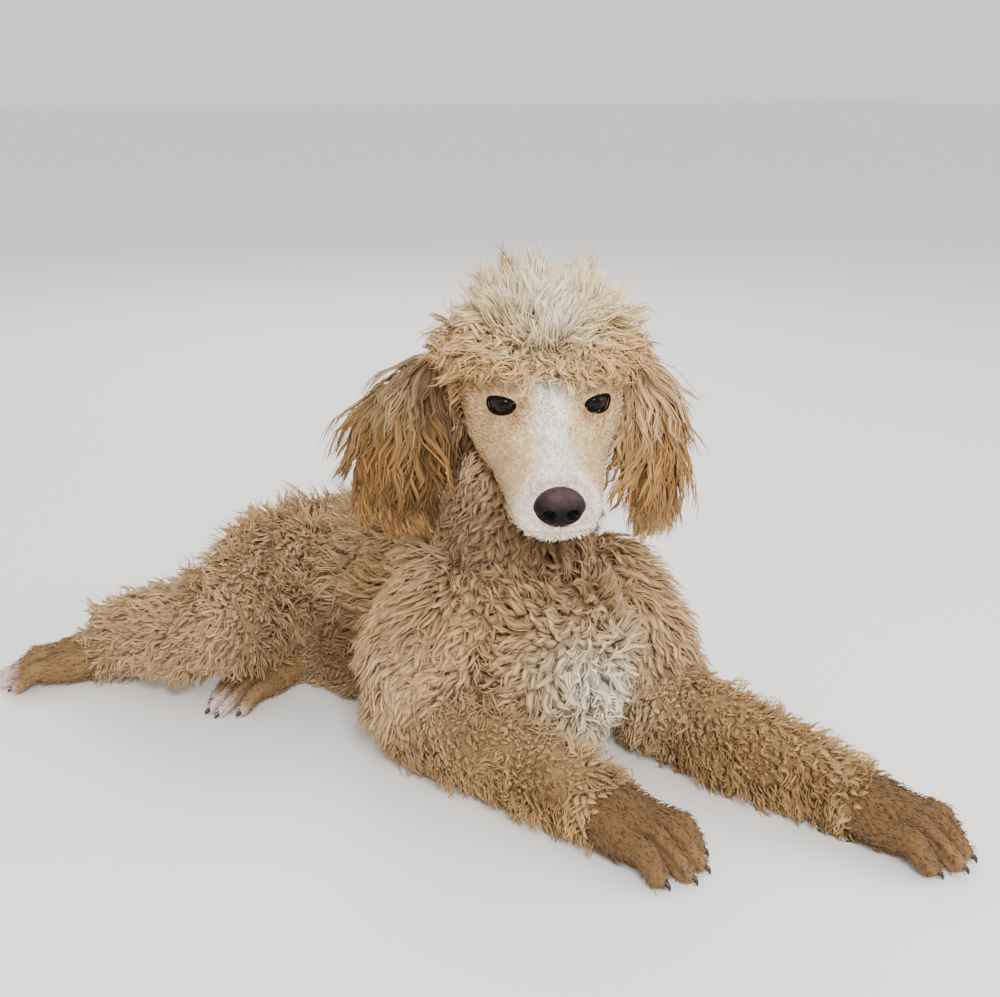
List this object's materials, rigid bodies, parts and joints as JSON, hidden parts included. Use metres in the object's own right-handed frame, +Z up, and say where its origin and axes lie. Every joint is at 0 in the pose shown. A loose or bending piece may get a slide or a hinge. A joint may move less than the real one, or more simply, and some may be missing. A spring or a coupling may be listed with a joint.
{
  "type": "standard poodle",
  "caption": "Curly-coated poodle puppy lying with its head up, forelegs reaching forward and hips rolled to one side.",
  "frame": {"origin": "the point on the floor under the breastbone, where the chest rests", "axes": "+Z up from the floor; the chest faces -Y, the rump lies towards +Y; +X is the puppy's left, and both hind legs lie out towards -X"},
  "size_m": [0.4237, 0.5705, 0.3055],
  "materials": {
    "curly_coat": "soft curly apricot-tan coat",
    "pale_coat": "pale cream topknot hair",
    "short_fur": "clipped cream face fur with a white blaze",
    "paw": "clipped tan feet with dark claws",
    "nose_leather": "dark brown moist nose leather",
    "eye": "wet dark brown eye"
  },
  "bodies": {
    "root": {"eye_left": "eye", "eye_right": "eye", "nose": "nose_leather", "head": "short_fur", "torso": "curly_coat", "neck": "curly_coat", "topknot": "pale_coat", "ear_left": "curly_coat", "ear_right": "curly_coat", "upper_arm_left": "curly_coat", "upper_arm_right": "curly_coat", "foreleg_left": "curly_coat", "foreleg_right": "curly_coat", "thigh_right": "curly_coat", "shank_right": "curly_coat", "thigh_left": "curly_coat", "shank_left": "curly_coat", "tail_pom": "curly_coat", "tail": "curly_coat", "forepaw_right": "paw", "forepaw_left": "paw", "hindpaw_right": "paw", "hindpaw_left": "paw"}
  },
  "joints": []
}
